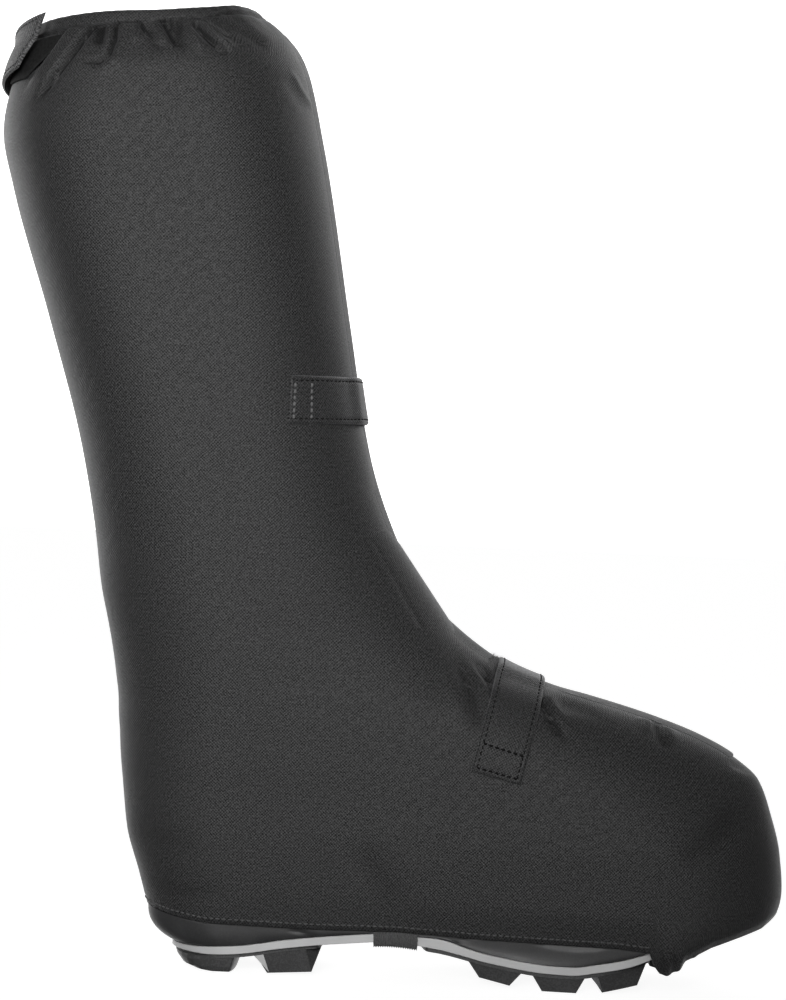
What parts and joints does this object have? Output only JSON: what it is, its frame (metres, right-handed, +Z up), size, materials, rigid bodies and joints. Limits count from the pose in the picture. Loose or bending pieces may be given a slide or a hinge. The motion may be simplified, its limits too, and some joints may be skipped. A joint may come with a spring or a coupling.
{
  "type": "overshoe",
  "caption": "Tall black fabric overshoe with an elastic collar, hook-and-loop straps and a front flap, open under the foot, standing on a lugged rubber sole with a stiff grey plate.",
  "frame": {"origin": "on the floor, in the middle of the rear heel lug's flat", "axes": "+X towards the toe, -Y towards the inner side of the foot, +Z up"},
  "size_m": [0.38, 0.1147, 0.4455],
  "materials": {
    "cover_fabric": "fine black twill with a soft sheen",
    "strap_fabric": "black twill over hook-and-loop tape, edges stitched",
    "webbing": "ribbed black webbing",
    "footbed": "matte black lining",
    "rubber": "satin black rubber",
    "plate": "light grey, satin"
  },
  "bodies": {
    "root": {"upper": "cover_fabric", "front_flap": "cover_fabric", "collar_strap": "strap_fabric", "shin_strap": "strap_fabric", "instep_strap": "strap_fabric", "arch_strap": "webbing", "insole": "footbed", "midsole": "rubber", "plate": "plate", "heel_tread": "rubber", "forefoot_tread": "rubber"}
  },
  "joints": []
}
